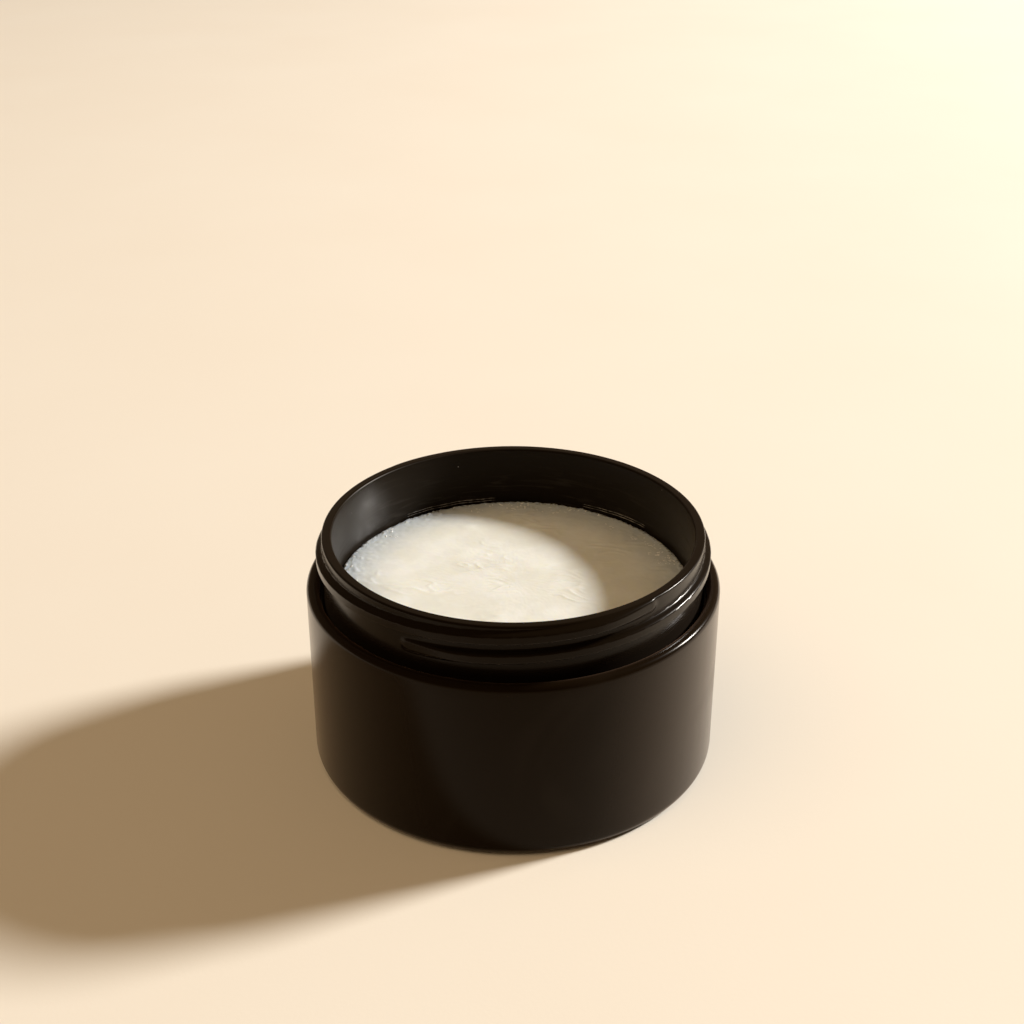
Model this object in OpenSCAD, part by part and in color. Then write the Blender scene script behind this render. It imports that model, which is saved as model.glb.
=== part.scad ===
// Double-wall cosmetic cream jar, open: an outer shell, a threaded inner cup and the cream.
// The origin is the centre of the plane that the jar stands on, and +Z points out of the mouth.
// The front is -Y.

/* [Outer shell] */
// Outside diameter of the straight wall
shell_d = 66; // [65:0.5:70]
// Height from the foot to the top of the rim
shell_h = 30.5; // [28:0.5:36]
// Thickness of the wall at the rim, which is fully rounded
shell_wall = 2; // [1.8:0.1:2.1]
// Radius of the outside corner at the base
base_corner_r = 1.6; // [1:0.1:2.4]
// Thickness of the floor
shell_floor_t = 1.8; // [1.4:0.1:2.2]
// Width of the ring that the jar stands on
foot_ring_w = 3; // [2:0.5:5]
// Depth of the sunk panel inside that ring
foot_recess = 0.8; // [0.4:0.1:1.2]

/* [Inner cup] */
// Outside diameter of the neck, at the root of the thread
neck_d = 60.4; // [60:0.1:60.6]
// Inside diameter of the cup
mouth_d = 57.2; // [56.8:0.1:57.4]
// Thickness of the cup's wall and floor below its shoulder
cup_wall = 1.2; // [1:0.1:1.2]
// Height of the lip above the shell's rim
neck_rise = 8.4; // [8.2:0.05:10]
// Depth of the inside, from the lip to the floor
cup_depth = 31; // [27:0.5:31.5]
// Radius of the inside corner between wall and floor
cup_corner_r = 9; // [4:0.5:12]
// Radius of the lip's outside edge
lip_outer_r = 0.25; // [0.15:0.05:0.25]
// Radius of the lip's inside edge
lip_inner_r = 0.35; // [0.2:0.05:0.6]

/* [Closure thread] */
// Distance between neighbouring ridges, crest to crest
thread_pitch = 3.175; // [2.9:0.025:3.2]
// Number of ridges that start round the neck
thread_starts = 2; // [1:1:2]
// Outside diameter over the ridges
thread_d = 62.4; // [61.8:0.1:62.5]
// Width of a ridge at its root
thread_root_w = 2.1; // [1.8:0.1:2.1]
// Width of a ridge at its crest
thread_crest_w = 1.2; // [0.8:0.1:1.4]
// Arc that each ridge covers
thread_arc = 246; // [216:10:246]
// Direction in which the first ridge starts, counted from +X
thread_start_a = 60; // [10:10:170]
// Arc over which each end of a ridge tapers
thread_fade_a = 14; // [10:1:20]
// Depth of the first ridge's lower end below the lip
thread_start_drop = 5.45; // [5.45:0.05:5.6]

/* [Snap joint] */
// Depth of the groove between the shell's rim and the neck
groove_depth = 2.8; // [2.4:0.1:4]
// Thickness of the cup's shoulder flange
flange_t = 1.8; // [1.6:0.1:2.2]
// Radial step of the ledge that the flange lands on
ledge_w = 0.8; // [0.6:0.1:0.8]
// Number of lugs that stop the cup from turning in the shell
lug_count = 12; // [6:1:18]
// Width of each lug
lug_w = 3; // [2:0.5:4]
// Length of each lug below the flange
lug_h = 1.5; // [1:0.1:2]

/* [Cream] */
// Depth of the cream's surface below the lip
cream_drop = 10; // [9.5:0.1:15]

/* [Hidden] */

$fn = 96;
eps = 0.01;

// Outer shell
shell_r = shell_d / 2;
shell_in_r = shell_r - shell_wall;
rim_r = shell_wall / 2;
shell_floor_z = foot_recess + shell_floor_t;
shell_fillet_r = 2;
foot_out_r = shell_r - base_corner_r;
foot_in_r = foot_out_r - foot_ring_w;
gate_r = 1.2;
gate_depth = 0.3;

// Inner cup
neck_r = neck_d / 2;
mouth_r = mouth_d / 2;
cup_out_r = mouth_r + cup_wall;
lip_z = shell_h + neck_rise;
cup_floor_z = lip_z - cup_depth;
cup_under_z = cup_floor_z - cup_wall;

// Snap joint: the flange lands on the ledge, and its bead clicks into the shell's groove
flange_top_z = shell_h - groove_depth;
ledge_z = flange_top_z - flange_t;
ledge_r = shell_in_r - ledge_w;
flange_gap = 0.15;
flange_r = shell_in_r - flange_gap;
snap_z = ledge_z + flange_t / 2;
snap_bead_r = 0.35;
snap_groove_r = 0.5;
shoulder_fillet_r = 0.5;
lug_r = ledge_r + 0.4;
lug_gap = 0.15;

// Pedestal ring that carries the cup's floor
pedestal_r = 16;
pedestal_w = 2;

// Cream
cream_gap = 0.05;
cream_z = lip_z - cream_drop;

// Thread
thread_r = thread_d / 2;
thread_lead = thread_pitch * thread_starts;
thread_step_a = 5;
thread_root_sink = 0.35;
thread_end_share = 0.15;

// Rectangle from one corner to the other
module rect(x0, z0, x1, z1) {
    translate([x0, z0]) square([x1 - x0, z1 - z0]);
}

module disc(x, z, r) {
    translate([x, z]) circle(r = r);
}

// Solid of revolution from an outline in radius and height
module turned() {
    rotate_extrude($fn = 180) children();
}

// Concave fillet that fills the corner at (x, z); sx and sz point into the open space
module fillet(x, z, r, sx, sz) {
    difference() {
        rect(min(x, x + sx * r), min(z, z + sz * r), max(x, x + sx * r), max(z, z + sz * r));
        disc(x + sx * r, z + sz * r, r);
    }
}

// Copies round the axis
module ring_of(count) {
    for (i = [0 : count - 1]) rotate([0, 0, i * 360 / count]) children();
}

// ---- Outer shell ----

module shell_outline() {
    difference() {
        union() {
            rect(shell_in_r, base_corner_r, shell_r, shell_h - rim_r);
            disc(shell_r - rim_r, shell_h - rim_r, rim_r);
            rect(ledge_r, shell_floor_z, shell_in_r + eps, ledge_z);
            disc(foot_out_r, base_corner_r, base_corner_r);
            rect(foot_in_r, 0, foot_out_r, shell_floor_z);
            rect(foot_out_r, base_corner_r, shell_in_r + eps, shell_floor_z);
            rect(0, foot_recess, foot_in_r + eps, shell_floor_z);
            fillet(ledge_r, shell_floor_z, shell_fillet_r, -1, 1);
            rect(pedestal_r - pedestal_w / 2, shell_floor_z - eps, pedestal_r + pedestal_w / 2, cup_under_z);
        }
        disc(flange_r, snap_z, snap_groove_r);
    }
    fillet(foot_in_r, foot_recess, foot_recess / 2, -1, -1);
}

module lug_slots() {
    slot_w = lug_w + 2 * lug_gap;
    slot_h = lug_h + lug_gap;
    ring_of(lug_count)
        translate([ledge_r - 1, -slot_w / 2, ledge_z - slot_h])
            cube([lug_r + lug_gap - ledge_r + 1, slot_w, slot_h + eps]);
}

module outer_shell() {
    color("#1d1a18")
    difference() {
        turned() shell_outline();
        lug_slots();
        translate([0, 0, foot_recess - eps]) cylinder(r = gate_r, h = gate_depth + eps);
    }
}

// ---- Inner cup ----

module cup_outline() {
    corner_x = mouth_r - cup_corner_r;
    corner_z = cup_floor_z + cup_corner_r;
    lip_base_z = lip_z - lip_inner_r;
    // Floor, round corner and straight wall
    rect(0, cup_under_z, corner_x, cup_floor_z);
    difference() {
        disc(corner_x, corner_z, cup_corner_r + cup_wall);
        disc(corner_x, corner_z, cup_corner_r);
        rect(corner_x - neck_d, cup_under_z - 1, corner_x, corner_z + neck_d);
        rect(corner_x - eps, corner_z, corner_x + neck_d, corner_z + neck_d);
    }
    rect(mouth_r, corner_z, cup_out_r, ledge_z);
    rect(mouth_r, ledge_z, neck_r, lip_base_z);
    // Lip: a narrow flat land between two rounded edges
    rect(mouth_r + lip_inner_r, lip_base_z, neck_r - lip_outer_r, lip_z);
    rect(neck_r - lip_outer_r, lip_base_z, neck_r, lip_z - lip_outer_r);
    intersection() {
        disc(mouth_r + lip_inner_r, lip_base_z, lip_inner_r);
        rect(mouth_r, lip_base_z, mouth_r + lip_inner_r, lip_z);
    }
    intersection() {
        disc(neck_r - lip_outer_r, lip_z - lip_outer_r, lip_outer_r);
        rect(neck_r - lip_outer_r, lip_z - lip_outer_r, neck_r, lip_z);
    }
    // Shoulder flange with its snap bead
    rect(neck_r - eps, ledge_z, flange_r, flange_top_z);
    disc(flange_r, snap_z, snap_bead_r);
    fillet(neck_r, flange_top_z, shoulder_fillet_r, 1, 1);
}

module lugs() {
    ring_of(lug_count)
        translate([cup_out_r - cup_wall / 2, -lug_w / 2, ledge_z - lug_h])
            cube([lug_r - cup_out_r + cup_wall / 2, lug_w, lug_h + eps]);
}

function smooth(t) = t * t * (3 - 2 * t);

// Size of a ridge at angle a along it, as a share of its full size: it tapers at both ends
function ridge_share(a) =
    thread_end_share + (1 - thread_end_share)
        * smooth(min(1, a / thread_fade_a, (thread_arc - a) / thread_fade_a));

// Cross-section of a ridge at angle a along it, as four points in space
function ridge_section(a) =
    let (
        share = ridge_share(a),
        width_share = (1 + share) / 2,
        root_r = neck_r - thread_root_sink,
        crest_r = neck_r + (thread_r - neck_r) * share,
        root = thread_root_w / 2 * width_share,
        crest = thread_crest_w / 2 * width_share,
        z = thread_lead * a / 360
    )
    [for (p = [[root_r, -root], [crest_r, -crest], [crest_r, crest], [root_r, root]])
        [p[0] * cos(a), p[0] * sin(a), z + p[1]]];

// One ridge: its sections joined into a closed solid
module ridge() {
    steps = ceil(thread_arc / thread_step_a);
    points = [for (i = [0 : steps]) each ridge_section(thread_arc * i / steps)];
    sides = [for (i = [0 : steps - 1], k = [0 : 3])
        let (a = 4 * i + k, b = 4 * i + (k + 1) % 4)
        each [[a, b, b + 4], [a, b + 4, a + 4]]];
    last = 4 * steps;
    ends = [[3, 2, 1], [3, 1, 0], [last, last + 1, last + 2], [last, last + 2, last + 3]];
    polyhedron(points = points, faces = concat(sides, ends));
}

module inner_cup() {
    color("#141110") {
        union() {
            turned() cup_outline();
            lugs();
            translate([0, 0, lip_z - thread_start_drop])
                rotate([0, 0, thread_start_a])
                    ring_of(thread_starts) ridge();
        }
    }
}

// ---- Cream ----

module cream_outline() {
    wall_x = mouth_r - cream_gap;
    corner_x = mouth_r - cup_corner_r;
    corner_z = cup_floor_z + cup_corner_r;
    rect(0, cup_floor_z + cream_gap, corner_x, cream_z);
    rect(corner_x - eps, corner_z, wall_x, cream_z);
    intersection() {
        disc(corner_x, corner_z, cup_corner_r - cream_gap);
        rect(corner_x - eps, cup_floor_z, wall_x, corner_z + eps);
    }
}

module cream() {
    color("#f1e4cb") turned() cream_outline();
}

outer_shell();
inner_cup();
cream();
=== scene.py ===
"""Looks of an open double-wall cream jar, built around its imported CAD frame.

The jar is an outer shell, an inner cup with a closure thread on its neck, and the cream. Each is a class
that holds its sizes in metres, builds its meshes and dresses them. The small things that lie on them, such
as crumbs of cream, are classes of their own. Heights count from the plane that the jar stands on.
"""

import logging
import math
from collections.abc import Callable
from dataclasses import dataclass, field
from enum import Enum

import bpy
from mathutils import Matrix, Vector, noise


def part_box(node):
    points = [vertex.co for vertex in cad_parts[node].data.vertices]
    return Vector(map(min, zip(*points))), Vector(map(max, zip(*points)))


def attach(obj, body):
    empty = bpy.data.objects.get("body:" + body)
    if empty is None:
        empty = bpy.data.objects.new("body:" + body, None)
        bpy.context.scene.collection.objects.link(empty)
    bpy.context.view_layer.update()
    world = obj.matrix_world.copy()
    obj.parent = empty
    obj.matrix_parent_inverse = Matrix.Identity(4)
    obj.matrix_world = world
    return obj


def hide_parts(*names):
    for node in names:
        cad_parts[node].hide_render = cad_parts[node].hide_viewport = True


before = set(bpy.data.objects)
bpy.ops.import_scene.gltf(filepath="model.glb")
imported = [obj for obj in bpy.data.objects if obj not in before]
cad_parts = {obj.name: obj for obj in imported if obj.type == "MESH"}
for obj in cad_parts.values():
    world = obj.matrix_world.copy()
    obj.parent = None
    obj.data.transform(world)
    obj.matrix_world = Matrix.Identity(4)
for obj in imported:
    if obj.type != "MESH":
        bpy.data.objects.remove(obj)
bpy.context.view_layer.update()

LOG = logging.getLogger("cream_jar")
MM = 0.001
BODY = "root"
AROUND = 432  # stretches round the axis in every turned mesh
TURNS = [math.tau * i / AROUND for i in range(AROUND)]
ARC_STEP = 6.0  # degrees between points on an outline's arcs
SAME_POINT = 0.0001 * MM  # points closer than this are one
SMOOTH_UNDER = math.radians(38)  # edges flatter than this are shaded smooth
WET_IOR = 1.42

Point = tuple[float, float]
Colour = tuple[float, float, float]


class Side(Enum):
    """Which way a mask looks along its value."""

    ABOVE = 1
    BELOW = -1


# ---- Node trees ----


def operator(operation: str, reflected: bool = False) -> Callable[["Sock", "Number"], "Sock"]:
    """Makes an arithmetic operator for Sock.

    Args:
        operation: the Math node's operation.
        reflected: whether the socket stands at the operator's right.
    Returns:
        The operator's method.
    """

    def method(this: "Sock", other: "Number") -> "Sock":
        """Adds the operator's Math node."""
        return this.graph.maths(operation, *((other, this) if reflected else (this, other)))

    return method


class Sock:
    """One output of a node, on which Python's arithmetic adds Math nodes."""

    __add__ = operator("ADD")
    __radd__ = operator("ADD", reflected=True)
    __sub__ = operator("SUBTRACT")
    __rsub__ = operator("SUBTRACT", reflected=True)
    __mul__ = operator("MULTIPLY")
    __rmul__ = operator("MULTIPLY", reflected=True)
    __truediv__ = operator("DIVIDE")

    def __init__(self, graph: "Graph", link: bpy.types.NodeSocket) -> None:
        """Keeps the output and the graph that it belongs to."""
        self.graph = graph
        self.link = link

    def also(self, output: str | int) -> "Sock":
        """Another output of the same node."""
        return Sock(self.graph, find_socket(self.link.node.outputs, output))


Number = float | Sock


def find_socket(sockets: bpy.types.bpy_prop_collection, key: str | int) -> bpy.types.NodeSocket:
    """Finds a node's input or output.

    Args:
        sockets: the node's inputs or outputs.
        key: the socket's place, or the name of one that the node's settings leave in use.
    Returns:
        The socket.
    """
    if isinstance(key, int):
        return sockets[key]
    return next(s for s in sockets if s.name == key and s.enabled)


class Graph:
    """A node tree with one way to add a node, and the few patterns that the finishes share."""

    def __init__(self, tree: bpy.types.NodeTree) -> None:
        """Wraps a node tree."""
        self.tree = tree

    def add(
        self,
        kind: str,
        settings: dict[str, object] | None = None,
        sockets: dict[str | int, object] | None = None,
        output: str | int | None = 0,
    ) -> Sock | None:
        """Adds a node: its settings first, and then the values or links of its sockets.

        Args:
            kind: the node's type.
            settings: attributes of the node.
            sockets: a value, an output or a list of outputs for each input, by name or place.
            output: which output to return, or None for a node that has none.
        Returns:
            That output, or None.
        """
        node = self.tree.nodes.new(kind)
        for name, value in (settings or {}).items():
            setattr(node, name, value)
        for key, value in (sockets or {}).items():
            socket = find_socket(node.inputs, key)
            for item in value if isinstance(value, list) else [value]:
                if isinstance(item, Sock):
                    self.tree.links.new(item.link, socket)
                else:
                    socket.default_value = item
        return None if output is None else Sock(self, find_socket(node.outputs, output))

    def maths(self, operation: str, *values: Number) -> Sock:
        """A Math node on up to three values."""
        return self.add("ShaderNodeMath", {"operation": operation}, dict(enumerate(values)))

    def ramp(self, value: Number, low: Number, high: Number, side: Side = Side.ABOVE) -> Sock:
        """A soft step.

        Args:
            value: what is measured.
            low: where the step starts.
            high: where it is complete.
            side: ABOVE rises from 0 to 1, BELOW falls from 1 to 0.
        Returns:
            The step, from 0 to 1.
        """
        ends = (0.0, 1.0) if side is Side.ABOVE else (1.0, 0.0)
        sockets = {"Value": value, "From Min": low, "From Max": high, "To Min": ends[0], "To Max": ends[1]}
        return self.add("ShaderNodeMapRange", {"interpolation_type": "SMOOTHSTEP"}, sockets, "Result")

    def vector(self, operation: str, a: Sock, b: object) -> Sock:
        """A Vector Math node on two vectors."""
        return self.add("ShaderNodeVectorMath", {"operation": operation}, {0: a, 1: b}, "Vector")

    def parts(self, vector: Sock) -> tuple[Sock, Sock, Sock]:
        """The three components of a vector."""
        x = self.add("ShaderNodeSeparateXYZ", None, {0: vector}, "X")
        return x, x.also("Y"), x.also("Z")

    def distance(self, x: Sock, y: Sock) -> Sock:
        """Length of a flat vector, such as the distance from the axis."""
        return self.maths("SQRT", x * x + y * y)

    def grain(self, place: Sock, scale: float, detail: float = 3.0, twist: float = 0.0) -> Sock:
        """Noise from 0 to 1, with so many features to the metre and octaves of detail."""
        sockets = {"Vector": place, "Scale": scale, "Detail": detail, "Distortion": twist}
        return self.add("ShaderNodeTexNoise", None, sockets, "Fac")


class Growth(Graph):
    """A Geometry Nodes tree with named inputs, run once on an object to make a plain mesh."""

    def __init__(self, name: str, sizes: dict[str, float | int]) -> None:
        """Makes the tree and its inputs.

        Args:
            name: the tree's name.
            sizes: a value for each named input.
        """
        super().__init__(bpy.data.node_groups.new(name, "GeometryNodeTree"))
        face = self.tree.interface
        face.new_socket("Geometry", in_out="INPUT", socket_type="NodeSocketGeometry")
        for label, value in sizes.items():
            kind = "NodeSocketInt" if isinstance(value, int) else "NodeSocketFloat"
            face.new_socket(label, in_out="INPUT", socket_type=kind)
        face.new_socket("Material", in_out="INPUT", socket_type="NodeSocketMaterial")
        face.new_socket("Geometry", in_out="OUTPUT", socket_type="NodeSocketGeometry")
        self.sizes = sizes
        self.inputs = self.tree.nodes.new("NodeGroupInput")

    def size(self, name: str) -> Sock:
        """One of the tree's inputs."""
        return Sock(self, find_socket(self.inputs.outputs, name))

    def end(self, geometry: Sock) -> None:
        """Closes the tree: real geometry, dressed in the material input.

        Args:
            geometry: what the tree has made.
        """
        real = self.add("GeometryNodeRealizeInstances", None, {"Geometry": geometry})
        dressing = {"Geometry": real, "Material": self.size("Material")}
        dressed = self.add("GeometryNodeSetMaterial", None, dressing)
        self.add("NodeGroupOutput", None, {0: dressed}, None)

    def grow(self, source: bpy.types.Mesh, name: str, material: bpy.types.Material) -> bpy.types.Object:
        """Runs the tree on a mesh.

        Args:
            source: the mesh that the tree starts from.
            name: the name of the new piece.
            material: what the piece is dressed in.
        Returns:
            An object that holds the result as a plain mesh, with its place in the mesh.
        """
        carrier = bpy.data.objects.new(name + "_source", source)
        bpy.context.scene.collection.objects.link(carrier)
        modifier = carrier.modifiers.new(self.tree.name, "NODES")
        modifier.node_group = self.tree
        for item in self.tree.interface.items_tree:
            if item.in_out == "INPUT" and item.name in self.sizes:
                modifier[item.identifier] = self.sizes[item.name]
            elif item.in_out == "INPUT" and item.name == "Material":
                modifier[item.identifier] = material
        bpy.context.view_layer.update()
        graph = bpy.context.evaluated_depsgraph_get()
        mesh = bpy.data.meshes.new_from_object(carrier.evaluated_get(graph), depsgraph=graph)
        carrier.modifiers.remove(modifier)
        bpy.data.objects.remove(carrier)
        return placed(mesh, name, material)


def named_sizes(piece: object) -> dict[str, float | int]:
    """The numbers among a dataclass's fields, as sizes for a tree's named inputs."""
    return {name.capitalize(): value for name, value in vars(piece).items() if not isinstance(value, str)}


# ---- Meshes ----


def placed(mesh: bpy.types.Mesh, name: str, material: bpy.types.Material) -> bpy.types.Object:
    """Puts a mesh in the scene as a piece at the origin.

    Args:
        mesh: the finished mesh, with its place in its points.
        name: the piece's name.
        material: what it is dressed in.
    Returns:
        The piece.
    """
    mesh.name = name
    mesh.materials.clear()
    mesh.materials.append(material)
    mesh.polygons.foreach_set("material_index", [0] * len(mesh.polygons))
    mesh.polygons.foreach_set("use_smooth", [True] * len(mesh.polygons))
    mesh.set_sharp_from_angle(angle=SMOOTH_UNDER)
    piece = bpy.data.objects.new(name, mesh)
    bpy.context.scene.collection.objects.link(piece)
    return piece


def ride(piece: bpy.types.Object, node: str | None = None) -> None:
    """Fixes a piece to the jar's body and reports it.

    Args:
        piece: the finished piece.
        node: the CAD node that it stands for.
    """
    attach(piece, BODY)
    if node:
        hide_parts(node)
    LOG.info("%s: %d points, %d faces", piece.name, len(piece.data.vertices), len(piece.data.polygons))


@dataclass
class Outline:
    """A line in radius and height, from the axis and back to it, that is turned round the axis."""

    points: list[Point] = field(default_factory=list)

    def to(self, radius: float, height: float, step: float = 0.0) -> "Outline":
        """Goes straight to a point.

        Args:
            radius: the point's distance from the axis.
            height: the point's height.
            step: longest stretch, where the line is cut into several.
        Returns:
            This outline.
        """
        if step and self.points:
            r0, z0 = self.points[-1]
            count = math.ceil(math.hypot(radius - r0, height - z0) / step)
            for i in range(1, count):
                share = i / count
                self.points.append((r0 + (radius - r0) * share, z0 + (height - z0) * share))
        self._keep(radius, height)
        return self

    def arc(self, centre: Point, radius: float, start: float, end: float) -> "Outline":
        """Goes round a centre.

        Args:
            centre: the arc's centre.
            radius: its radius.
            start: the angle where it begins, in degrees from straight outwards.
            end: the angle where it stops.
        Returns:
            This outline.
        """
        count = max(3, math.ceil(abs(end - start) / ARC_STEP))
        for i in range(count + 1):
            angle = math.radians(start + (end - start) * i / count)
            self._keep(centre[0] + radius * math.cos(angle), centre[1] + radius * math.sin(angle))
        return self

    def _keep(self, radius: float, height: float) -> None:
        """Adds a point unless it repeats the last one."""
        if not self.points or math.dist(self.points[-1], (radius, height)) > SAME_POINT:
            self.points.append((radius, height))

    def turned(self, name: str) -> bpy.types.Mesh:
        """Turns the outline round the axis into a closed mesh.

        Args:
            name: the mesh's name.
        Returns:
            The mesh, with one point at each pole.
        """
        rings = self.points[1:-1]
        points = [(r * math.cos(a), r * math.sin(a), z) for r, z in rings for a in TURNS]
        return closed_mesh(name, points, len(rings), self.points[0][1], self.points[-1][1])


def closed_mesh(
    name: str, points: list[tuple[float, float, float]], rings: int, first: float, last: float
) -> bpy.types.Mesh:
    """Joins rings of points into a closed mesh whose faces point outwards.

    Args:
        name: the mesh's name.
        points: the rings' points, ring by ring, from under the piece, outside and over it.
        rings: how many rings there are.
        first: height of the pole before the first ring.
        last: height of the pole after the last ring.
    Returns:
        The mesh.
    """
    faces: list[tuple[int, ...]] = []
    bottom, top = len(points), len(points) + 1
    end = (rings - 1) * AROUND
    for j in range(AROUND):
        k = (j + 1) % AROUND
        faces.append((bottom, k, j))
        faces.append((top, end + j, end + k))
        for i in range(0, end, AROUND):
            faces.append((i + j, i + k, i + AROUND + k, i + AROUND + j))
    mesh = bpy.data.meshes.new(name)
    mesh.from_pydata([*points, (0.0, 0.0, first), (0.0, 0.0, last)], [], faces)
    mesh.validate()
    return mesh


# ---- Finishes ----


class Surface(Graph):
    """A material's node tree, read at the Object coordinates."""

    def __init__(self, name: str) -> None:
        """Starts a material without nodes.

        Args:
            name: the material's name.
        """
        self.material = bpy.data.materials.new(name)
        self.material.use_nodes = True
        self.material.node_tree.nodes.clear()
        super().__init__(self.material.node_tree)
        self.place = self.add("ShaderNodeTexCoord", None, None, "Object")

    def noise(self, scale: float, detail: float = 3.0, twist: float = 0.0) -> Sock:
        """Grain at the Object coordinates."""
        return self.grain(self.place, scale, detail, twist)

    def blend(self, share: Number, a: Colour | Sock, b: Colour | Sock) -> Sock:
        """Mixes two colours: a share of 0 gives the first, and 1 the second."""
        sides = {key: c if isinstance(c, Sock) else (*c, 1.0) for key, c in (("A", a), ("B", b))}
        return self.add("ShaderNodeMix", {"data_type": "RGBA"}, {"Factor": share, **sides}, "Result")

    def bumped(self, height: Sock) -> Sock:
        """A normal that follows a height in metres."""
        return self.add("ShaderNodeBump", None, {"Height": height, "Distance": 1.0}, "Normal")

    def finished(self, sockets: dict[str, object]) -> bpy.types.Material:
        """Ends the tree with a Principled shader.

        Args:
            sockets: values and links of the shader's sockets.
        Returns:
            The material.
        """
        shader = self.add("ShaderNodeBsdfPrincipled", None, sockets, "BSDF")
        self.add("ShaderNodeOutputMaterial", None, {"Surface": shader}, None)
        return self.material


@dataclass(frozen=True)
class Bloom:
    """How black plastic shines: dim reflections, and a warm haze where the surface turns away."""

    shine: Colour
    haze: float
    haze_tint: Colour
    haze_spread: float = 0.4

    def sockets(self) -> dict[str, object]:
        """Values of the shader's sockets, which are the same all over."""
        haze = {"Sheen Weight": self.haze, "Sheen Roughness": self.haze_spread}
        return {**haze, "Sheen Tint": (*self.haze_tint, 1.0), "Specular Tint": (*self.shine, 1.0)}


@dataclass(frozen=True)
class ShellFinish:
    """Satin moulded polypropylene, warm black, glossier on the rim and scuffed at the foot."""

    rim_z: float
    foot_z: float
    rim_fade: float = 0.5 * MM
    black: Colour = (0.0060, 0.0032, 0.0010)
    scuffed: Colour = (0.022, 0.016, 0.011)
    satin: float = 0.19
    gloss: float = 0.18
    bloom: Bloom = Bloom((0.07, 0.055, 0.035), 0.10, (1.0, 0.62, 0.42))
    texture_depth: float = 2.4e-6
    sink_depth: float = 3.0e-5

    def material(self) -> bpy.types.Material:
        """Makes the material.

        Returns:
            The material.
        """
        surface = Surface("satin_black_plastic")
        _, _, z = surface.parts(surface.place)
        rim = surface.ramp(z, self.rim_z - self.rim_fade, self.rim_z)
        clouds = surface.noise(95.0)
        smudges = surface.ramp(surface.noise(42.0, 2.0, 1.4), 0.54, 0.70)
        foot = surface.ramp(z, 0.0, self.foot_z, Side.BELOW)
        scuffs = foot * surface.ramp(surface.noise(1400.0, 4.0), 0.52, 0.72)
        satin = self.satin + 0.08 * (clouds - 0.5) + 0.05 * smudges + 0.15 * scuffs
        rough = satin + rim * (self.gloss - satin)
        colour = surface.blend(scuffs * 0.6 + smudges * 0.12, self.black, self.scuffed)
        texture = surface.noise(5200.0, 2.0) * (1.0 - rim) * self.texture_depth
        sinks = surface.noise(75.0, 1.0) * self.sink_depth
        sockets = {"Base Color": colour, "Roughness": rough, "Normal": surface.bumped(texture + sinks)}
        return surface.finished({**sockets, **self.bloom.sockets()})


@dataclass(frozen=True)
class CupFinish:
    """Semi-gloss moulded warm black polypropylene; the inside wall has smears of cream film and an even
    painted fill light.
    """

    mouth_r: float
    cream_z: float
    inner_from: float = 0.1 * MM  # the inside wall's mask fades out between these distances past it
    inner_to: float = 0.3 * MM
    film_height: float = 8.0 * MM  # how far over the cream the film thins out
    black: Colour = (0.0060, 0.0034, 0.0012)
    film: Colour = (0.060, 0.052, 0.043)
    gloss: float = 0.21
    inside: float = 0.35
    bloom: Bloom = Bloom((0.12, 0.10, 0.08), 0.05, (1.0, 0.82, 0.70))
    texture_depth: float = 1.2e-6
    sink_depth: float = 2.0e-5

    def material(self) -> bpy.types.Material:
        """Makes the material.

        Returns:
            The material.
        """
        surface = Surface("semi_gloss_black_plastic")
        x, y, z = surface.parts(surface.place)
        past = surface.distance(x, y) - self.mouth_r
        inner = surface.ramp(past, self.inner_from, self.inner_to, Side.BELOW)
        level = surface.vector("MULTIPLY", surface.place, (1.0, 1.0, 9.0))
        streaks = surface.ramp(surface.grain(level, 170.0, 4.0, 0.5), 0.50, 0.74)
        near = surface.ramp(z, self.cream_z, self.cream_z + self.film_height, Side.BELOW)
        film = inner * streaks * (0.25 + 0.75 * near)
        gloss = self.gloss + 0.06 * (surface.noise(130.0) - 0.5)
        rough = gloss + inner * (self.inside - gloss) + 0.14 * film
        # painted fill light: the whole inside wall is lifted a little towards the film's colour; the
        # streaks over it are real cream film
        colour = surface.blend(film * 0.30 + inner * 0.06, self.black, self.film)
        texture = surface.noise(3800.0, 2.0) * self.texture_depth
        sinks = surface.noise(110.0, 1.0) * self.sink_depth
        sockets = {"Base Color": colour, "Roughness": rough, "Normal": surface.bumped(texture + sinks)}
        return surface.finished({**sockets, **self.bloom.sockets()})


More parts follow.
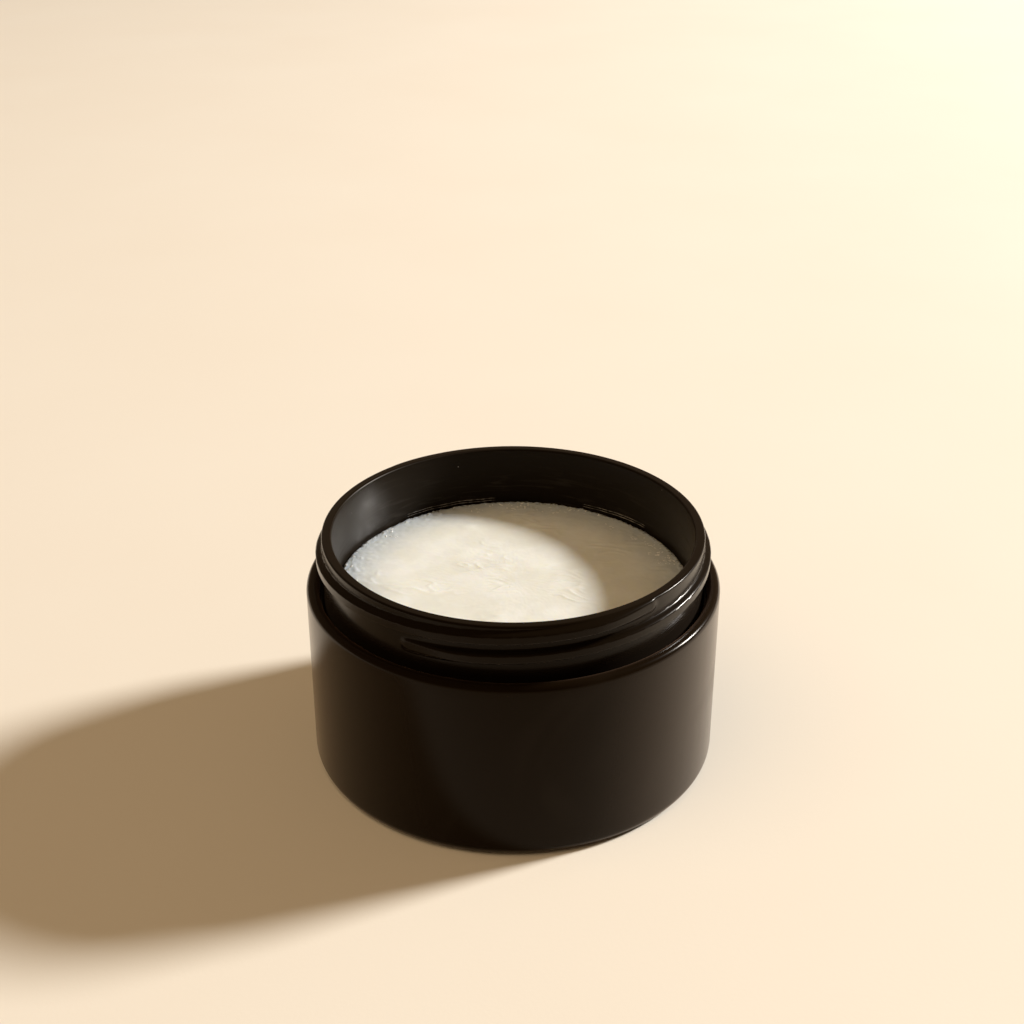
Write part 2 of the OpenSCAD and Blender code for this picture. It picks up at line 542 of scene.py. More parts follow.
@dataclass(frozen=True)
class CreamFinish:
    """Soft ivory cream, faintly glossy and slightly see-through, with a grey-blue painted shade near the
    wall and a dark one against it.
    """

    name: str
    radius: float
    ivory: Colour = (0.745, 0.755, 0.70)
    pale: Colour = (0.80, 0.82, 0.79)
    # grey-blue colour of the painted shade and bluish painted reflection near the wall
    edge_shade: Colour = (0.37, 0.42, 0.46)
    # dark colour of the painted shade in the crevice between the cream and the wall
    wall_crevice_shade: Colour = (0.10, 0.095, 0.085)
    depth: float = 0.6
    edge_shade_zone: Point = (-10.0 * MM, 1.0 * MM)  # where the painted shade near the wall spreads, counted from the wall
    edge_shade_ragged: float = 3.0 * MM
    crevice_shade_zone: Point = (-1.1 * MM, -0.1 * MM)  # where the dark painted shade against the wall lies, counted from the wall
    crevice_shade_ragged: float = 2.4 * MM
    softness: float = 4.0 * MM
    scatter: Colour = (1.0, 0.86, 0.60)
    rake_depth: float = 1.0e-5
    fine_depth: float = 2.0e-6

    def colour(self, surface: Surface, past: Sock, edge_shade: Sock) -> Sock:
        """The cream's colour: cloudy, with painted shade and a bluish painted reflection towards the wall,
        and a dark painted shade against it.

        Args:
            surface: the material's tree.
            past: distance past the wall, which is below 0 inside it.
            edge_shade: how strongly the painted shade near the wall is laid on, from 0 to 1.
        Returns:
            The colour.
        """
        clouds = surface.ramp(surface.noise(160.0, 3.0), 0.35, 0.65)
        # painted shade: towards the wall the cream is blended into a grey-blue colour, as if the wall
        # shaded it
        colour = surface.blend(edge_shade * 0.8, surface.blend(clouds, self.ivory, self.pale), self.edge_shade)
        # painted shade: a dark ragged band along the last millimetre before the wall
        crevice_shade_place = past + (surface.noise(2200.0, 2.0) - 0.5) * self.crevice_shade_ragged
        return surface.blend(surface.ramp(crevice_shade_place, *self.crevice_shade_zone), colour, self.wall_crevice_shade)

    def material(self) -> bpy.types.Material:
        """Makes the material.

        Returns:
            The material.
        """
        surface = Surface(self.name)
        x, y, _ = surface.parts(surface.place)
        past = surface.distance(x, y) - self.radius
        # mask of the painted shade near the wall: it rises over the last 10 mm before the wall, with a
        # ragged start, and also adds coat there
        edge_shade = surface.ramp(past + (surface.noise(700.0) - 0.5) * self.edge_shade_ragged, *self.edge_shade_zone)
        drawn_out = surface.vector("MULTIPLY", surface.place, (0.45, 1.6, 1.0))
        raked = surface.grain(drawn_out, 450.0, 3.0, 0.8) * self.rake_depth
        wet = surface.ramp(surface.noise(300.0, 2.0), 0.42, 0.62)
        sockets = {
            "Base Color": self.colour(surface, past, edge_shade),
            "Roughness": 0.40 + 0.22 * (surface.noise(420.0) - 0.5),
            "Coat Weight": wet * 0.35 + edge_shade * 0.4,
            "Coat Roughness": 0.14,
            "Normal": surface.bumped(raked + surface.noise(3200.0, 2.0) * self.fine_depth),
            "IOR": WET_IOR,
            "Subsurface Weight": self.depth,
            "Subsurface Radius": self.scatter,
            "Subsurface Scale": self.softness,
        }
        return surface.finished(sockets)


@dataclass(frozen=True)
class ResidueFinish:
    """A thin wet trace of cream on black plastic."""

    dry: Colour = (0.30, 0.28, 0.25)
    wet: Colour = (0.10, 0.094, 0.085)
    depth: float = 0.1

    def material(self) -> bpy.types.Material:
        """Makes the material.

        Returns:
            The material.
        """
        surface = Surface("cream_residue")
        clots = surface.noise(900.0, 3.0)
        colour = surface.blend(surface.ramp(clots, 0.40, 0.62), self.wet, self.dry)
        sockets = {"Base Color": colour, "Roughness": 0.14 + 0.2 * clots}
        return surface.finished({**sockets, "IOR": WET_IOR, "Subsurface Weight": self.depth})


@dataclass(frozen=True)
class DustFinish:
    """Dull pale lint."""

    pale: Colour = (0.40, 0.37, 0.33)
    dark: Colour = (0.20, 0.18, 0.16)
    dullness: float = 0.85

    def material(self) -> bpy.types.Material:
        """Makes the material.

        Returns:
            The material.
        """
        surface = Surface("dust")
        colour = surface.blend(surface.noise(2000.0, 2.0), self.dark, self.pale)
        return surface.finished({"Base Color": colour, "Roughness": self.dullness})


# ---- The jar's pieces ----


def smooth(share: float) -> float:
    """A soft step from 0 to 1."""
    share = min(1.0, max(0.0, share))
    return share * share * (3.0 - 2.0 * share)


@dataclass
class SnapJoint:
    """What the shell and the cup share: a ledge, a snap bead in its groove, and lugs in their slots."""

    top: float  # upper face of the cup's flange
    inner_r: float  # the shell's inside
    flange_t: float = 1.8 * MM
    flange_gap: float = 0.15 * MM
    ledge_w: float = 0.8 * MM
    bead_r: float = 0.35 * MM
    groove_r: float = 0.5 * MM
    lugs: int = 12
    lug_w: float = 3.0 * MM
    lug_h: float = 1.5 * MM
    lug_reach: float = 0.4 * MM
    lug_gap: float = 0.15 * MM

    @property
    def ledge_z(self) -> float:
        """Height of the ledge."""
        return self.top - self.flange_t

    @property
    def ledge_r(self) -> float:
        """Radius of the ledge's inner edge."""
        return self.inner_r - self.ledge_w

    @property
    def flange_r(self) -> float:
        """Radius of the flange."""
        return self.inner_r - self.flange_gap

    @property
    def snap_z(self) -> float:
        """Height of the bead and its groove."""
        return self.top - self.flange_t / 2

    def block_sizes(self, start: float, gap: float) -> dict[str, float | int]:
        """Inputs for a ring of blocks: the lugs themselves, or with a gap the slots that take them.

        Args:
            start: radius where the blocks begin.
            gap: room round each lug.
        Returns:
            A value for each input.
        """
        return {
            "Blocks": self.lugs,
            "Block from": start,
            "Block to": self.ledge_r + self.lug_reach + gap,
            "Block width": self.lug_w + 2 * gap,
            "Block low": self.ledge_z - self.lug_h - gap,
            "Block high": self.ledge_z + self.lug_gap,
        }

    def blocks(self, tree: Growth) -> Sock:
        """A ring of blocks, from the tree's own inputs.

        Args:
            tree: a tree with the inputs that block_sizes gives.
        Returns:
            The blocks as real geometry.
        """
        start, stop = tree.size("Block from"), tree.size("Block to")
        low, high = tree.size("Block low"), tree.size("Block high")
        circle = {"Vertices": tree.size("Blocks"), "Radius": (start + stop) * 0.5}
        ring = tree.add("GeometryNodeMeshCircle", None, circle)
        extent = {"X": stop - start, "Y": tree.size("Block width"), "Z": high - low}
        size = tree.add("ShaderNodeCombineXYZ", None, extent)
        block = tree.add("GeometryNodeMeshCube", None, {"Size": size})
        outwards = {"Vector": tree.add("GeometryNodeInputPosition")}
        settings = {"axis": "X", "pivot_axis": "Z"}
        turn = tree.add("FunctionNodeAlignRotationToVector", settings, outwards)
        copies = {"Points": ring, "Instance": block, "Rotation": turn}
        lift = tree.add("ShaderNodeCombineXYZ", None, {"Z": (low + high) * 0.5})
        lifted = {"Geometry": tree.add("GeometryNodeInstanceOnPoints", None, copies), "Translation": lift}
        moved = tree.add("GeometryNodeTransform", None, lifted)
        return tree.add("GeometryNodeRealizeInstances", None, {"Geometry": moved})


@dataclass
class OuterShell:
    """The satin outer cup that the jar stands on."""

    radius: float
    height: float
    joint: SnapJoint
    under_cup_z: float
    wall: float
    corner_r: float = 1.6 * MM
    foot_w: float = 3.0 * MM
    foot_recess: float = 0.8 * MM
    foot_edge_r: float = 0.15 * MM
    floor_t: float = 1.8 * MM
    fillet_r: float = 2.0 * MM
    pedestal_r: float = 16.0 * MM
    pedestal_w: float = 2.0 * MM
    gate_r: float = 1.2 * MM
    gate_depth: float = 0.3 * MM
    slot_lead: float = 1.0 * MM  # how far inside the ledge's edge the slots' cutters begin
    wall_step: float = 1.5 * MM

    def outline(self) -> Outline:
        """The wall and floor in section, from the gate mark underneath to the floor inside.

        Returns:
            The outline.
        """
        joint, edge = self.joint, self.foot_edge_r
        inner_r, rim_r = self.radius - self.wall, self.wall / 2
        foot_out, foot_in = self.radius - self.corner_r, self.radius - self.corner_r - self.foot_w
        panel, panel_fillet = self.foot_recess, self.foot_recess / 2
        floor_z = self.foot_recess + self.floor_t
        opening = math.degrees(math.acos(joint.flange_gap / joint.groove_r))
        path = Outline().to(0.0, panel + self.gate_depth).to(self.gate_r - edge, panel + self.gate_depth)
        path.to(self.gate_r, panel + self.gate_depth - edge).to(self.gate_r, panel)
        path.to(foot_in - panel_fillet, panel, self.wall_step * 2)
        path.arc((foot_in - panel_fillet, panel - panel_fillet), panel_fillet, 90, 0)
        path.arc((foot_in + edge, edge), edge, 180, 270)
        path.arc((foot_out, self.corner_r), self.corner_r, 270, 360)
        path.to(self.radius, self.height - rim_r, self.wall_step)
        path.arc((self.radius - rim_r, self.height - rim_r), rim_r, 0, 180)
        path.to(inner_r, joint.snap_z + joint.groove_r * math.sin(math.radians(opening)), self.wall_step)
        path.arc((joint.flange_r, joint.snap_z), joint.groove_r, opening, -opening)
        path.to(inner_r, joint.ledge_z).to(joint.ledge_r, joint.ledge_z)
        path.to(joint.ledge_r, floor_z + self.fillet_r, self.wall_step * 2)
        path.arc((joint.ledge_r - self.fillet_r, floor_z + self.fillet_r), self.fillet_r, 0, -90)
        for radius, height in self._pedestal(floor_z):
            path.to(radius, height)
        return path.to(0.0, floor_z)

    def _pedestal(self, floor_z: float) -> list[Point]:
        """The ring under the cup's floor, as four corners."""
        out, into = self.pedestal_r + self.pedestal_w / 2, self.pedestal_r - self.pedestal_w / 2
        return [(out, floor_z), (out, self.under_cup_z), (into, self.under_cup_z), (into, floor_z)]

    def slots_tree(self) -> Growth:
        """Cuts the lugs' slots out of the ledge.

        Returns:
            The tree.
        """
        joint = self.joint
        tree = Growth("lug_slots", joint.block_sizes(joint.ledge_r - self.slot_lead, joint.lug_gap))
        cut = {0: tree.size("Geometry"), 1: joint.blocks(tree)}
        settings = {"operation": "DIFFERENCE", "solver": "MANIFOLD"}
        tree.end(tree.add("GeometryNodeMeshBoolean", settings, cut, "Mesh"))
        return tree

    def build(self) -> bpy.types.Object:
        """Makes the shell in its finish.

        Returns:
            The piece.
        """
        finish = ShellFinish(rim_z=self.height - self.wall / 2, foot_z=self.corner_r)
        blank = self.outline().turned("shell_blank")
        piece = self.slots_tree().grow(blank, "jar_shell", finish.material())
        ride(piece, "outer_shell")
        return piece


@dataclass
class ClosureThread:
    """A right-hand external thread: rounded ridges that rise round the neck."""

    neck_r: float
    lip_z: float
    height: float
    root_w: float = 2.5 * MM
    crest_w: float = 1.1 * MM
    lead: float = 6.35 * MM
    starts: int = 2
    arc: float = math.radians(257)
    first_start: float = math.radians(57)
    drop: float = 5.503 * MM
    taper: float = math.radians(22)  # stretch over which each end rises from the neck
    end_share: float = 0.2  # how high a ridge is where it ends
    guard: float = math.radians(25)  # how far before its start a ridge is still measured from that end
    slack: float = 0.001 * MM  # how far inside the neck's radius still counts as on it

    def sizes(self) -> dict[str, float | int]:
        """The thread's inputs in a tree.

        Returns:
            A value for each input.
        """
        return {
            "Neck radius": self.neck_r,
            "Ridge height": self.height,
            "Half root": self.root_w / 2,
            "Half crest": self.crest_w / 2,
            "Lead": self.lead,
            "Arc": self.arc,
            "Taper": self.taper,
            "First start": self.first_start,
            "Lowest height": self.lip_z - self.drop,
        }

    def raised(self, tree: Growth, geometry: Sock, edge: float) -> Sock:
        """Pushes the neck's points outwards along the ridges.

        Args:
            tree: the tree that holds the thread's inputs.
            geometry: the cup's mesh.
            edge: how far inside the neck's radius the push has faded out, over the rounded lip.
        Returns:
            The cup with its thread.
        """
        x, y, z = tree.parts(tree.add("GeometryNodeInputPosition"))
        radius = tree.distance(x, y)
        direction = tree.maths("ARCTAN2", y, x) - tree.size("First start")
        neck_r, half_root, length = tree.size("Neck radius"), tree.size("Half root"), tree.size("Arc")
        share: Number = 0.0
        for start in range(self.starts):
            past = direction - start * math.tau / self.starts
            along = tree.maths("WRAP", past, math.tau - self.guard, -self.guard) * neck_r
            near = tree.maths("MINIMUM", along, length * neck_r - half_root)
            near = tree.maths("MAXIMUM", near, half_root)
            middle = tree.size("Lowest height") + near * tree.size("Lead") / (neck_r * math.tau)
            apart = tree.distance(z - middle, along - near)
            ridge = tree.ramp(apart, tree.size("Half crest"), half_root, Side.BELOW)
            to_end = tree.maths("MINIMUM", along, length * neck_r - along)
            rise = tree.ramp(to_end, 0.0, tree.size("Taper") * neck_r)
            ridge = ridge * (self.end_share + (1.0 - self.end_share) * rise)
            share = tree.maths("MAXIMUM", ridge, share)
        on_neck = tree.ramp(radius, neck_r - edge, neck_r - self.slack)
        push = share * on_neck * tree.size("Ridge height") / radius
        offset = tree.add("ShaderNodeCombineXYZ", None, {"X": x * push, "Y": y * push})
        return tree.add("GeometryNodeSetPosition", None, {"Geometry": geometry, "Offset": offset})


@dataclass
class InnerCup:
    """The glossier cup that holds the cream, with its threaded neck."""

    lip_z: float
    under_z: float
    neck_r: float
    mouth_r: float
    cream_z: float
    joint: SnapJoint
    thread: ClosureThread
    wall: float = 1.2 * MM
    corner_r: float = 9.0 * MM
    lip_outer_r: float = 0.35 * MM
    lip_inner_r: float = 0.35 * MM
    shoulder_r: float = 0.5 * MM
    neck_step: float = 0.115 * MM
    wall_step: float = 2.0 * MM

    def outline(self) -> Outline:
        """The cup in section, from its floor's underside to its floor's top.

        Returns:
            The outline.
        """
        joint = self.joint
        floor_z = self.under_z + self.wall
        corner = (self.mouth_r - self.corner_r, floor_z + self.corner_r)
        out_r, shoulder = self.mouth_r + self.wall, self.shoulder_r
        path = Outline().to(0.0, self.under_z).to(corner[0], self.under_z, 3 * self.wall_step)
        path.arc(corner, self.corner_r + self.wall, 270, 360)
        path.to(out_r, joint.ledge_z, self.wall_step).to(joint.flange_r, joint.ledge_z)
        path.to(joint.flange_r, joint.snap_z - joint.bead_r)
        path.arc((joint.flange_r, joint.snap_z), joint.bead_r, -90, 90)
        path.to(joint.flange_r, joint.top).to(self.neck_r + shoulder, joint.top)
        path.arc((self.neck_r + shoulder, joint.top + shoulder), shoulder, 270, 180)
        path.to(self.neck_r, self.lip_z - self.lip_outer_r, self.neck_step)
        outer, inner = self.lip_outer_r, self.lip_inner_r
        path.arc((self.neck_r - outer, self.lip_z - outer), outer, 0, 90)
        path.arc((self.mouth_r + inner, self.lip_z - inner), inner, 90, 180)
        path.to(self.mouth_r, corner[1], self.wall_step)
        path.arc(corner, self.corner_r, 0, -90)
        return path.to(0.0, floor_z)

    def tree(self) -> Growth:
        """Raises the thread and joins the lugs.

        Returns:
            The tree.
        """
        lugs = self.joint.block_sizes(self.mouth_r + self.wall / 2, 0.0)
        tree = Growth("thread_and_lugs", {**self.thread.sizes(), **lugs})
        threaded = self.thread.raised(tree, tree.size("Geometry"), self.lip_outer_r)
        settings = {"operation": "UNION", "solver": "MANIFOLD"}
        both = {1: [threaded, self.joint.blocks(tree)]}
        tree.end(tree.add("GeometryNodeMeshBoolean", settings, both, "Mesh"))
        return tree

    def build(self) -> bpy.types.Object:
        """Makes the cup in its finish.

        Returns:
            The piece.
        """
        finish = CupFinish(mouth_r=self.mouth_r, cream_z=self.cream_z)
        piece = self.tree().grow(self.outline().turned("cup_blank"), "jar_cup", finish.material())
        ride(piece, "inner_cup")
        return piece


@dataclass
class CreamFill:
    """The cream: it fills the cup, with a raked top and a ragged edge at the wall."""

    radius: float
    floor_z: float
    top: float
    material: bpy.types.Material
    corner_r: float = 8.95 * MM
    edge_r: float = 0.55 * MM
    edge_zone: float = 1.3 * MM
    coarse_step: float = 0.28 * MM
    fine_step: float = 0.09 * MM
    swell: float = 0.14 * MM
    crest: float = 0.13 * MM
    bead: float = 0.50 * MM
    fine: float = 0.02 * MM
    bay: float = 0.35 * MM
    nick: float = 0.36 * MM
    floor_step: float = 3.0 * MM
    wall_step: float = 2.0 * MM

    def edge_at(self, angle: float) -> float:
        """How far the ragged edge lies inside the wall.

        Args:
            angle: direction from the axis.
        Returns:
            The distance in metres.
        """
        around = Vector((math.cos(angle), math.sin(angle), 0.0))
        bays = max(0.0, noise.noise(around * 16.0))
        nicks = 0.5 + 0.5 * noise.noise(around * 70.0)
        return bays * self.bay + nicks * self.nick

    def relief(self, x: float, y: float) -> float:
        """Height of the raked surface over its level.

        Args:
            x: place to the right of the axis, in metres.
            y: place behind the axis.
        Returns:
            The height in metres.
        """
        place = Vector((x, y, 0.0)) / MM  # so a divisor below is a wavelength in millimetres
        swell = noise.noise(place / 14.0) + 0.4 * noise.noise(place / 5.0)
        bend = 0.8 * noise.noise(place / 6.0)
        raked = Vector((place.x * 0.22 + bend, place.y * 0.60 + place.x * 0.10 + bend, 4.0))
        crests = max(0.0, 1.0 - abs(noise.noise(raked)) / 0.24)
        patches = smooth((noise.noise(place / 6.5 + Vector((3.1, 7.7, 0.0))) - 0.02) / 0.35)
        rim = smooth((place.length - self.radius / MM + 5.5) / 3.5)
        shoal = 0.35 + 0.65 * smooth(0.5 + noise.noise(place / 9.0 + Vector((0.0, 0.0, 9.0))))
        beads = max(0.0, noise.noise(place / 0.62) - 0.12)
        beads += 0.5 * max(0.0, noise.noise(place / 0.35) - 0.1)
        raked_height = self.swell * swell + self.crest * crests * crests * patches
        return raked_height + self.bead * beads * rim * shoal + self.fine * noise.noise(place / 0.5)

    def top_rings(self) -> list[float]:
        """Rings of the top, from the edge inwards.

        Returns:
            How far each lies inside the edge.
        """
        fine = [self.fine_step * i for i in range(1, math.ceil(self.edge_zone / self.fine_step))]
        span = self.radius - self.edge_zone
        count = math.ceil(span / self.coarse_step)
        return [0.0, *fine, *(self.edge_zone + span * i / count for i in range(count))]

    def mesh(self) -> bpy.types.Mesh:
        """The whole fill as one closed mesh.

        Returns:
            The mesh.
        """
        corner = (self.radius - self.corner_r, self.floor_z + self.corner_r)
        side = Outline().to(0.0, self.floor_z).to(corner[0], self.floor_z, self.floor_step)
        side.arc(corner, self.corner_r, 270, 360)
        side.to(self.radius, self.top - 1.5 * self.edge_r, self.wall_step)
        points = [(r * math.cos(a), r * math.sin(a), z) for r, z in side.points[1:] for a in TURNS]
        inset = [self.edge_at(a) for a in TURNS]
        rings = self.top_rings()
        for depth in rings:
            share = 1.0 - depth / self.radius
            past = max(0.0, 1.0 - depth / self.edge_r)
            fall = self.edge_r * (1.0 - math.sqrt(1.0 - past * past))
            for angle, back in zip(TURNS, inset):
                radius = (self.radius - back) * share
                x, y = radius * math.cos(angle), radius * math.sin(angle)
                points.append((x, y, self.top + self.relief(x, y) - fall))
        middle = self.top + self.relief(0.0, 0.0)
        return closed_mesh("cream_blank", points, len(side.points) - 1 + len(rings), self.floor_z, middle)

    def build(self) -> bpy.types.Object:
        """Makes the cream in its finish.

        Returns:
            The piece.
        """
        piece = placed(self.mesh(), "cream_fill", self.material)
        ride(piece, "cream")
        return piece


@dataclass
class Scatter:
    """Small blobs strewn over one zone of a piece's surface."""

    name: str
    density: float  # to the square metre
    smallest: float
    largest: float
    flatness: float
    low: float
    high: float
    near: float
    far: float
    seed: int
    widest: float = 1.0  # furthest along either axis; 1 m sets no limit
    lumpiness: float = 0.35

    def zone(self, tree: Growth) -> Sock:
        """Where the blobs may lie.

        Args:
            tree: the scatter's tree.
        Returns:
            1 inside the zone's clumps and 0 elsewhere.
        """
        place = tree.add("GeometryNodeInputPosition")
        x, y, z = tree.parts(place)
        radius = tree.distance(x, y)
        wide = tree.maths("MAXIMUM", tree.maths("ABSOLUTE", x), tree.maths("ABSOLUTE", y))
        zone = tree.maths("GREATER_THAN", tree.grain(place, 150.0, 2.0), 0.5)
        for value, name in ((z, "Low"), (radius, "Near")):
            zone = zone * tree.maths("GREATER_THAN", value, tree.size(name))
        for value, name in ((z, "High"), (radius, "Far"), (wide, "Widest")):
            zone = zone * tree.maths("LESS_THAN", value, tree.size(name))
        return zone

    def blobs(self, tree: Growth) -> Sock:
        """Strewn and turned blobs of different sizes.

        Args:
            tree: the scatter's tree.
        Returns:
            The blobs as real geometry.
        """
        seed = tree.size("Seed")
        strewn = {"Selection": self.zone(tree), "Density": tree.size("Density"), "Seed": seed}
        strewn["Mesh"] = tree.size("Geometry")
        points = tree.add("GeometryNodeDistributePointsOnFaces", None, strewn, "Points")
        spin = self._random(tree, 0.0, math.tau, seed)
        spun = {"Axis": (0.0, 0.0, 1.0), "Angle": spin}
        around = tree.add("FunctionNodeAxisAngleToRotation", None, spun)
        turned = {"Rotation": points.also("Rotation"), "Rotate By": around}
        turn = tree.add("FunctionNodeRotateRotation", {"rotation_space": "LOCAL"}, turned)
        size = self._random(tree, tree.size("Smallest"), tree.size("Largest"), seed + 1.0)
        stretch = self._random(tree, 0.9, 2.6, seed + 2.0)
        scale = {"X": size * stretch, "Y": size, "Z": size * tree.size("Flatness")}
        blob = tree.add("GeometryNodeMeshUVSphere", None, {"Segments": 8, "Rings": 6, "Radius": 1.0})
        copies = {"Points": points, "Instance": blob, "Rotation": turn}
        copies["Scale"] = tree.add("ShaderNodeCombineXYZ", None, scale)
        made = tree.add("GeometryNodeInstanceOnPoints", None, copies)
        return tree.add("GeometryNodeRealizeInstances", None, {"Geometry": made})

    @staticmethod
    def _random(tree: Growth, low: Number, high: Number, seed: Sock) -> Sock:
        """A random number for each blob."""
        return tree.add("FunctionNodeRandomValue", None, {"Min": low, "Max": high, "Seed": seed}, "Value")

    def tree(self) -> Growth:
        """The whole tree: blobs, pushed in and out by noise so that none is round.

        Returns:
            The tree.
        """
        tree = Growth(self.name, named_sizes(self))
        real = self.blobs(tree)
        lumps = tree.grain(tree.add("GeometryNodeInputPosition"), 0.8 / self.largest, 2.0) - 0.5
        reach = lumps * tree.size("Lumpiness") * tree.size("Largest")
        normal = tree.add("GeometryNodeInputNormal", None, None, "Normal")
        scaled = {0: normal, "Scale": reach}
        push = tree.add("ShaderNodeVectorMath", {"operation": "SCALE"}, scaled, "Vector")
        tree.end(tree.add("GeometryNodeSetPosition", None, {"Geometry": real, "Offset": push}))
        return tree

    def build(self, surface: bpy.types.Object, material: bpy.types.Material, slot: str | None) -> None:
        """Strews the blobs over a piece, in a material."""
        ride(self.tree().grow(surface.data.copy(), self.name, material))


@dataclass
class FilmLine:
    """A thin wet line of cream that runs along the cup's wall, just over the cream."""

    name: str
    radius: float
    height: float
    start: float
    sweep: float
    thickness: float = 0.11 * MM
    points: int = 48

    def tree(self) -> Growth:
        """An arc that thins towards its ends, wanders up and down, and becomes a tube.

        Returns:
            The tree.
        """
        tree = Growth(self.name, named_sizes(self))
        line = {"Resolution": tree.size("Points"), "Radius": tree.size("Radius")}
        line |= {"Start Angle": tree.size("Start"), "Sweep Angle": tree.size("Sweep")}
        arc = tree.add("GeometryNodeCurveArc", {"mode": "RADIUS"}, line, "Curve")
        share = tree.add("GeometryNodeSplineParameter", None, None, "Factor")
        ends = tree.maths("POWER", share * (1.0 - share) * 4.0, 0.4)
        wander = tree.grain(tree.add("GeometryNodeInputPosition"), 260.0, 2.0) - 0.5
        lift = tree.add("ShaderNodeCombineXYZ", None, {"Z": tree.size("Height") + wander * 0.5 * MM})
        raised = tree.add("GeometryNodeSetPosition", None, {"Geometry": arc, "Offset": lift})
        round_line = {"Resolution": 8, "Radius": 1.0}
        section = tree.add("GeometryNodeCurvePrimitiveCircle", None, round_line, "Curve")
        thick = tree.size("Thickness") * ends * (0.6 + wander * 0.8)
        tube = {"Curve": raised, "Profile Curve": section, "Scale": thick, "Fill Caps": True}
        tree.end(tree.add("GeometryNodeCurveToMesh", None, tube))
        return tree

    def build(self, material: bpy.types.Material) -> None:
        """Lays the line in its finish."""
        ride(self.tree().grow(bpy.data.meshes.new("empty"), self.name, material))


# ---- The studio ----


@dataclass(frozen=True)
class FloorFinish:
    """A plain pale floor."""

    pale: Colour = (0.81, 0.76, 0.67)
    warm: Colour = (0.785, 0.72, 0.62)
    dullness: float = 0.85
    grain_depth: float = 1.0e-5

    def material(self) -> bpy.types.Material:
        """Makes the material.

        Returns:
            The material.
        """
        surface = Surface("pale_floor")
        colour = surface.blend(surface.noise(14.0, 3.0), self.pale, self.warm)
        normal = surface.bumped(surface.noise(1500.0, 2.0) * self.grain_depth)
        return surface.finished({"Base Color": colour, "Roughness": self.dullness, "Normal": normal})


@dataclass(frozen=True)
class Lamp:
    """A round soft light that faces the jar."""

    name: str
    azimuth: float  # direction from the jar, counted from the right
    height: float  # angle over the floor
    size: float
    power: float
    colour: Colour
    mirrored: bool = True  # whether it is seen in reflections
    distance: float = 2.6

    def hang(self) -> None:
        """Hangs the light."""
        flat = math.cos(self.height)
        sideways, back = flat * math.cos(self.azimuth), flat * math.sin(self.azimuth)
        towards = Vector((sideways, back, math.sin(self.height)))
        data = bpy.data.lights.new(self.name, "AREA")
        data.shape = "DISK"
        data.size = self.size
        data.energy = self.power
        data.color = self.colour
        light = bpy.data.objects.new(self.name, data)
        light.location = towards * self.distance
        light.rotation_euler = towards.to_track_quat("Z", "Y").to_euler()
        light.visible_glossy = self.mirrored
        bpy.context.scene.collection.objects.link(light)


@dataclass
class Studio:
    """A pale floor, a key light from the right and a little behind, a broad warm fill, and the camera."""

    lens: float = 55.4
    pitch: float = math.radians(27.53)
    distance: float = 247.6 * MM
    aim: Point = (-0.2 * MM, 41.5 * MM)
    floor_r: float = 9.0
    floor_corners: int = 96
    key: Lamp = Lamp("key", math.radians(21), math.radians(30), 0.42, 114.0, (1.0, 0.975, 0.935))
    fill: Lamp = Lamp("fill", math.radians(215), math.radians(60), 2.6, 25.0, (1.0, 0.74, 0.45), False)
    air: Colour = (1.0, 0.66, 0.38)
    air_strength: float = 0.14
    backdrop: Colour = (0.84, 0.74, 0.60)

    def floor(self) -> None:
        """Lays the floor."""
        turns = [math.tau * i / self.floor_corners for i in range(self.floor_corners)]
        points = [(self.floor_r * math.cos(a), self.floor_r * math.sin(a), 0.0) for a in turns]
        mesh = bpy.data.meshes.new("floor")
        mesh.from_pydata(points, [], [tuple(range(self.floor_corners))])
        piece = placed(mesh, "floor", FloorFinish().material())

    def surroundings(self) -> None:
        """Fills the room with dim even light, in front of a pale backdrop."""
        world = bpy.data.worlds.new("room")
        world.use_nodes = True
        world.node_tree.nodes.clear()
        graph = Graph(world.node_tree)
        dim = {"Color": (*self.air, 1.0), "Strength": self.air_strength}
        air = graph.add("ShaderNodeBackground", None, dim)
        backdrop = graph.add("ShaderNodeBackground", None, {"Color": (*self.backdrop, 1.0)})
        seen = graph.add("ShaderNodeLightPath", None, None, "Is Camera Ray")
        both = graph.add("ShaderNodeMixShader", None, {0: seen, 1: air, 2: backdrop})
        graph.add("ShaderNodeOutputWorld", None, {"Surface": both}, None)
        bpy.context.scene.world = world
        bpy.context.scene.view_settings.view_transform = "Standard"

    def camera(self) -> None:
        """Sets the camera, looking down at the jar from the front."""
        data = bpy.data.cameras.new("camera")
        data.lens = self.lens
        data.clip_start = 10 * MM
        camera = bpy.data.objects.new("camera", data)
        back = Vector((0.0, -math.cos(self.pitch), math.sin(self.pitch))) * self.distance
        camera.location = Vector((self.aim[0], 0.0, self.aim[1])) + back
        camera.rotation_euler = (math.pi / 2 - self.pitch, 0.0, 0.0)
        bpy.context.scene.collection.objects.link(camera)
        bpy.context.scene.camera = camera

    def build(self) -> None:
        """Sets the whole studio."""
        self.floor()
        self.key.hang()
        self.fill.hang()
        self.surroundings()
        self.camera()


# ---- Assembly ----


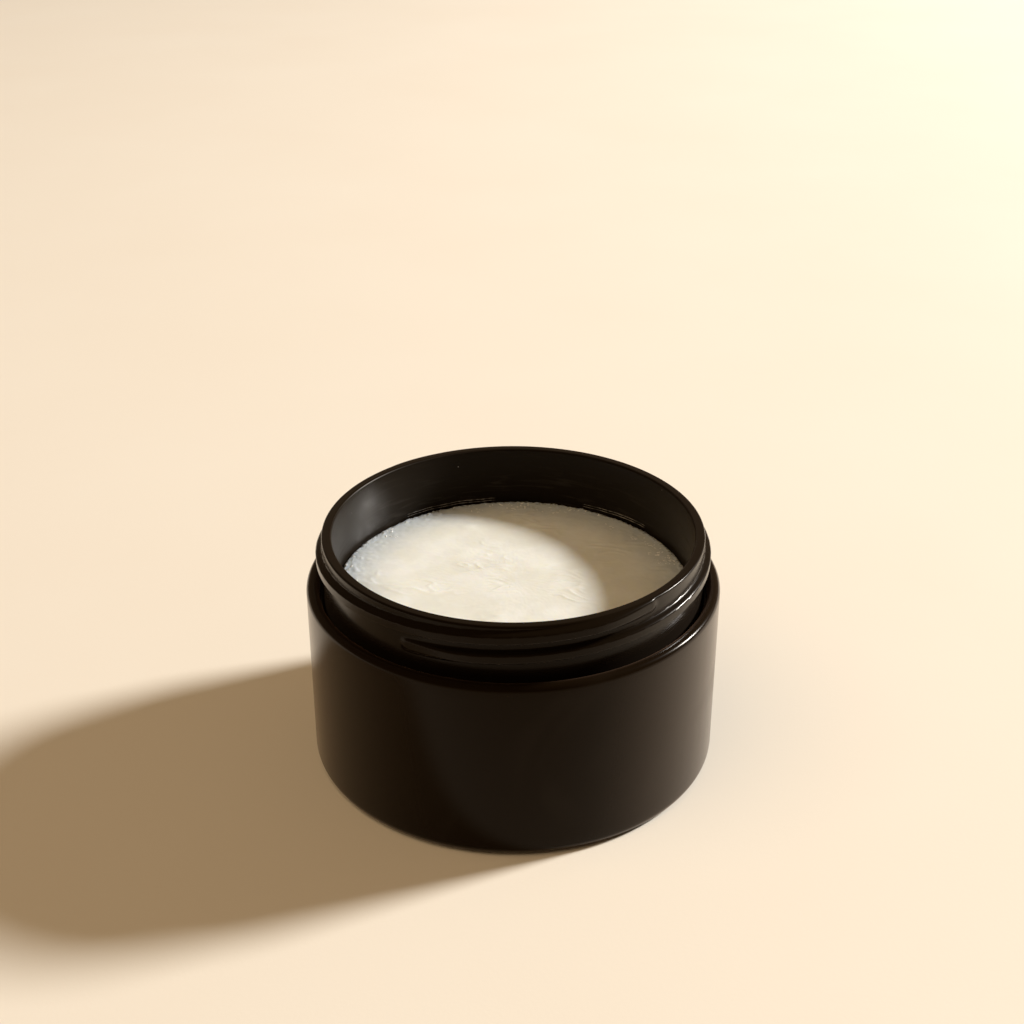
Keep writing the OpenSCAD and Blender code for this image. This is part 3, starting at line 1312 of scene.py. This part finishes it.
@dataclass
class CreamJar:
    """The whole jar, sized from the frame."""

    cream_gap: float = 0.05 * MM
    rim_to_flange: float = 2.8 * MM
    shell_wall: float = 2.0 * MM
    thread_height: float = 1.0 * MM

    def build(self) -> None:
        """Builds every piece in order."""
        shell_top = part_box("outer_shell")[1]
        cup_low, cup_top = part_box("inner_cup")
        cream_low, cream_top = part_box("cream")
        neck_r, mouth_r = cup_top.x - self.thread_height, cream_top.x + self.cream_gap
        joint = SnapJoint(top=shell_top.z - self.rim_to_flange, inner_r=shell_top.x - self.shell_wall)
        shell = OuterShell(shell_top.x, shell_top.z, joint, cup_low.z, self.shell_wall).build()
        thread = ClosureThread(neck_r, cup_top.z, self.thread_height)
        cup = InnerCup(cup_top.z, cup_low.z, neck_r, mouth_r, cream_top.z, joint, thread).build()
        ivory = CreamFinish("ivory_cream", cream_top.x).material()
        cream = CreamFill(cream_top.x, cream_low.z, cream_top.z, ivory).build()
        grey = {"ivory": (0.66, 0.67, 0.65), "pale": (0.80, 0.81, 0.80)}
        crumbly = CreamFinish("ivory_crumbs", 2 * cream_top.x, **grey, depth=0.0).material()
        self.crumbs(cream, cream_top, crumbly)
        self.residue(cup, cream_top, cup_top.z, mouth_r)
        self.dust(shell, shell_top)

    def crumbs(self, cream: bpy.types.Object, top: Vector, material: bpy.types.Material) -> None:
        """Strews crumbs on the cream near the wall.

        Args:
            cream: the cream's piece.
            top: highest corner of the cream's box.
            material: the crumbs' finish.
        """
        zone = {"low": top.z - 1.0 * MM, "high": top.z + 2.0 * MM}
        edge = {"near": top.x - 4.0 * MM, "far": top.x - 0.7 * MM}
        crumbs = Scatter("edge_crumbs", 1.1e6, 0.05 * MM, 0.19 * MM, 0.40, **zone, **edge, seed=4)
        crumbs.build(cream, material, "cream")

    def residue(self, cup: bpy.types.Object, cream_top: Vector, lip_z: float, mouth_r: float) -> None:
        """Leaves droplets and film lines of cream on the cup's inside wall.

        Args:
            cup: the cup's piece.
            cream_top: highest corner of the cream's box.
            lip_z: height of the lip.
            mouth_r: radius of the inside wall.
        """
        material = ResidueFinish().material()
        wall = {"near": mouth_r - 0.2 * MM, "far": mouth_r + 0.1 * MM}
        heights = {"low": cream_top.z + 0.6 * MM, "high": lip_z - 0.8 * MM}
        drops = Scatter("wall_droplets", 2.0e4, 0.04 * MM, 0.10 * MM, 0.6, **wall, **heights, seed=7)
        drops.build(cup, material, "cream")
        for name, start, sweep, rise in (("back_right", 38, 27, 0.30), ("back_left", 96, 34, 0.22)):
            for strand, lift in (("low", 0.0), ("high", 0.42 * MM)):
                line = FilmLine(
                    f"film_{name}_{strand}",
                    mouth_r - 0.03 * MM,
                    cream_top.z + rise * MM + lift,
                    math.radians(start),
                    math.radians(sweep),
                )
                line.build(material)

    def dust(self, shell: bpy.types.Object, top: Vector) -> None:
        """Lets a few specks of dust settle on the shell's wall.

        Args:
            shell: the shell's piece.
            top: highest corner of the shell's box.
        """
        wall = {"near": top.x - 0.05 * MM, "far": top.x + 0.05 * MM, "widest": 0.985 * top.x}
        heights = {"low": 2.0 * MM, "high": top.z - 1.5 * MM}
        specks = Scatter("dust_specks", 4.5e3, 0.03 * MM, 0.09 * MM, 0.5, **wall, **heights, seed=3)
        specks.build(shell, DustFinish().material(), None)


def main() -> None:
    """Builds the jar and its studio."""
    logging.basicConfig(level=logging.INFO, format="%(name)s: %(message)s")
    CreamJar().build()
    Studio().build()


if __name__ == "__main__":
    main()
